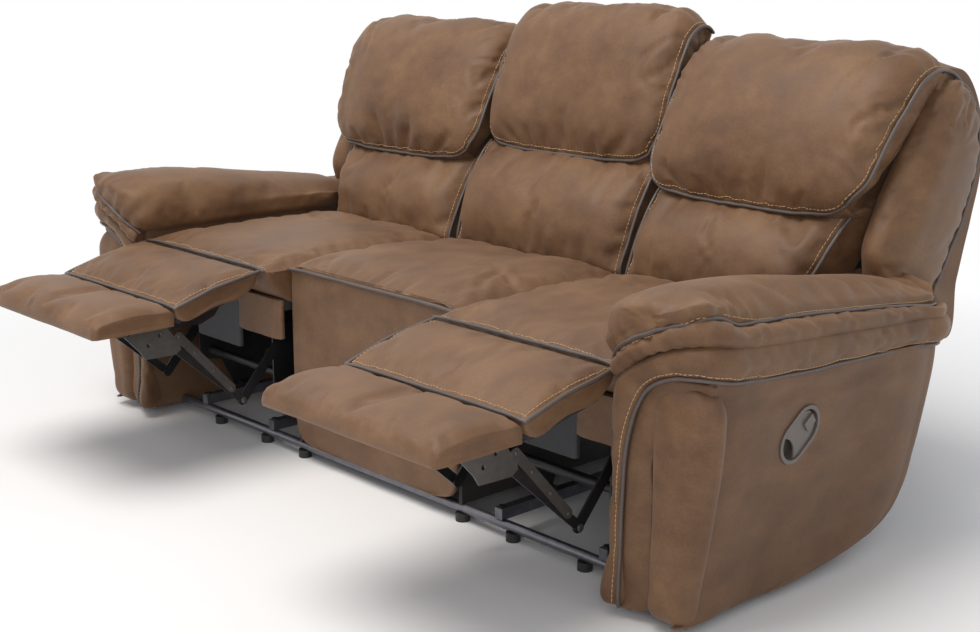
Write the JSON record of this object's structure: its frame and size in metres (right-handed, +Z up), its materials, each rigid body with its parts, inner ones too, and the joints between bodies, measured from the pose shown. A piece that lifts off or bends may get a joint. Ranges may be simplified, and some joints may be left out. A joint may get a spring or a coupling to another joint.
{
  "type": "reclining sofa",
  "caption": "Three-seat sofa with a reclining seat and folding footrest on each side of a fixed centre seat, padded arms and a pull handle in each arm.",
  "frame": {"origin": "on the floor under the middle of the sofa's outline with both footrests out", "axes": "+X along the sofa to the viewer's right, -Y to the front where the footrests are, +Z up"},
  "size_m": [2.1248, 1.5275, 1.085],
  "materials": {
    "suede": "brushed brown upholstery",
    "suede_panel": "brushed brown upholstery, flat panels",
    "lining": "dark lining cloth",
    "timber": "rough sawn hardwood and plywood",
    "black_steel": "satin black paint",
    "tube_steel": "dark drawn steel tube",
    "spring_steel": "bright spring wire",
    "handle_plastic": "grey-brown moulded plastic",
    "foot_plastic": "black moulded plastic"
  },
  "bodies": {
    "base": {"arm_frames": "timber", "arm_front_pillars": "suede", "arm_inner_panel_left": "suede_panel", "arm_inner_panel_right": "suede_panel", "arm_outer_panel_left": "suede_panel", "arm_outer_panel_right": "suede_panel", "arm_side_roll_left": "suede", "arm_side_roll_right": "suede", "arm_top_pad_left": "suede", "arm_top_pad_right": "suede", "base_frame": "tube_steel", "centre_back_cover": "suede_panel", "centre_back_frame": "timber", "centre_front_panel": "suede_panel", "centre_head_pillow": "suede", "centre_lumbar_cushion": "suede", "centre_seat_cushion": "suede", "centre_seat_frame": "timber", "centre_seat_springs": "spring_steel", "floor_glides": "foot_plastic", "frame_bolts": "black_steel", "handle_cups": "handle_plastic"},
    "back_left": {"back_cover_left": "suede_panel", "back_frame_left": "timber", "back_wing_left": "suede", "head_pillow_left": "suede", "lumbar_cushion_left": "suede"},
    "back_right": {"back_cover_right": "suede_panel", "back_frame_right": "timber", "back_wing_right": "suede", "head_pillow_right": "suede", "lumbar_cushion_right": "suede"},
    "chaise_left": {"chaise_board_left": "timber", "chaise_bracket_left": "black_steel", "chaise_pad_left": "suede"},
    "chaise_right": {"chaise_board_right": "timber", "chaise_bracket_right": "black_steel", "chaise_pad_right": "suede"},
    "footrest_left": {"footrest_board_left": "timber", "footrest_bracket_left": "black_steel", "footrest_pad_left": "suede"},
    "footrest_right": {"footrest_board_right": "timber", "footrest_bracket_right": "black_steel", "footrest_pad_right": "suede"},
    "seat_left": {"mechanism_plates_left": "black_steel", "seat_cushion_left": "suede", "seat_frame_left": "timber", "seat_front_panel_left": "lining", "seat_springs_left": "spring_steel"},
    "seat_right": {"mechanism_plates_right": "black_steel", "seat_cushion_right": "suede", "seat_frame_right": "timber", "seat_front_panel_right": "lining", "seat_springs_right": "spring_steel"},
    "handle_left": {"release_paddle_left": "handle_plastic"},
    "handle_right": {"release_paddle_right": "handle_plastic"},
    "link_left": {"scissor_link_left": "black_steel"},
    "link_right": {"scissor_link_right": "black_steel"},
    "crank_left": {"torque_tube_left": "black_steel"},
    "crank_right": {"torque_tube_right": "black_steel"}
  },
  "joints": [
    {"name": "seat_glide_right", "type": "slide", "parent": "base", "child": "seat_right", "axis": [0, -1, 0], "range_m": [-0.0226, 0.0451]},
    {"name": "recline_right", "type": "hinge", "parent": "seat_right", "child": "back_right", "pos_m": [0.5675, 0.3, 0.42], "axis": [1, 0, 0], "range_deg": [-20, 10]},
    {"name": "chaise_fold_right", "type": "hinge", "parent": "seat_right", "child": "chaise_right", "pos_m": [0.5675, -0.323, 0.478], "axis": [1, 0, 0], "range_deg": [0, 56]},
    {"name": "footrest_turn_right", "type": "hinge", "parent": "chaise_right", "child": "footrest_right", "pos_m": [0.5675, -0.551, 0.385], "axis": [1, 0, 0], "range_deg": [0, 32.01]},
    {"name": "crank_turn_right", "type": "hinge", "parent": "seat_right", "child": "crank_right", "pos_m": [0.5675, -0.189, 0.307], "axis": [1, 0, 0], "range_deg": [0, 62.11]},
    {"name": "link_turn_right", "type": "hinge", "parent": "crank_right", "child": "link_right", "pos_m": [0.5675, -0.333, 0.145], "axis": [1, 0, 0], "range_deg": [-62.11, 0]},
    {"name": "handle_pull_right", "type": "hinge", "parent": "base", "child": "handle_right", "pos_m": [1.02401, -0.00948, 0.36141], "axis": [0.0691, -0.6157, 0.785], "range_deg": [0, 38], "stiffness_Nm_per_rad": 0.6, "springref_deg": -5.73},
    {"name": "seat_glide_left", "type": "slide", "parent": "base", "child": "seat_left", "axis": [0, -1, 0], "range_m": [-0.0226, 0.0451]},
    {"name": "recline_left", "type": "hinge", "parent": "seat_left", "child": "back_left", "pos_m": [-0.5675, 0.3, 0.42], "axis": [1, 0, 0], "range_deg": [-20, 10]},
    {"name": "chaise_fold_left", "type": "hinge", "parent": "seat_left", "child": "chaise_left", "pos_m": [-0.5675, -0.323, 0.478], "axis": [1, 0, 0], "range_deg": [0, 56]},
    {"name": "footrest_turn_left", "type": "hinge", "parent": "chaise_left", "child": "footrest_left", "pos_m": [-0.5675, -0.551, 0.385], "axis": [1, 0, 0], "range_deg": [0, 32.01]},
    {"name": "crank_turn_left", "type": "hinge", "parent": "seat_left", "child": "crank_left", "pos_m": [-0.5675, -0.189, 0.307], "axis": [1, 0, 0], "range_deg": [0, 62.11]},
    {"name": "link_turn_left", "type": "hinge", "parent": "crank_left", "child": "link_left", "pos_m": [-0.5675, -0.333, 0.145], "axis": [1, 0, 0], "range_deg": [-62.11, 0]},
    {"name": "handle_pull_left", "type": "hinge", "parent": "base", "child": "handle_left", "pos_m": [-1.02401, -0.00948, 0.36141], "axis": [0.0691, 0.6157, -0.785], "range_deg": [0, 38], "stiffness_Nm_per_rad": 0.6, "springref_deg": -5.73}
  ],
  "couplings": [
    {"joint": "seat_glide_right", "follows": "recline_right", "m_per_rad": -0.12892},
    {"joint": "footrest_turn_right", "follows": "chaise_fold_right", "ratio": 0.57143},
    {"joint": "crank_turn_right", "follows": "chaise_fold_right", "ratio": 1.1089},
    {"joint": "link_turn_right", "follows": "chaise_fold_right", "ratio": -1.1089},
    {"joint": "seat_glide_left", "follows": "recline_left", "m_per_rad": -0.12892},
    {"joint": "footrest_turn_left", "follows": "chaise_fold_left", "ratio": 0.57143},
    {"joint": "crank_turn_left", "follows": "chaise_fold_left", "ratio": 1.1089},
    {"joint": "link_turn_left", "follows": "chaise_fold_left", "ratio": -1.1089}
  ]
}
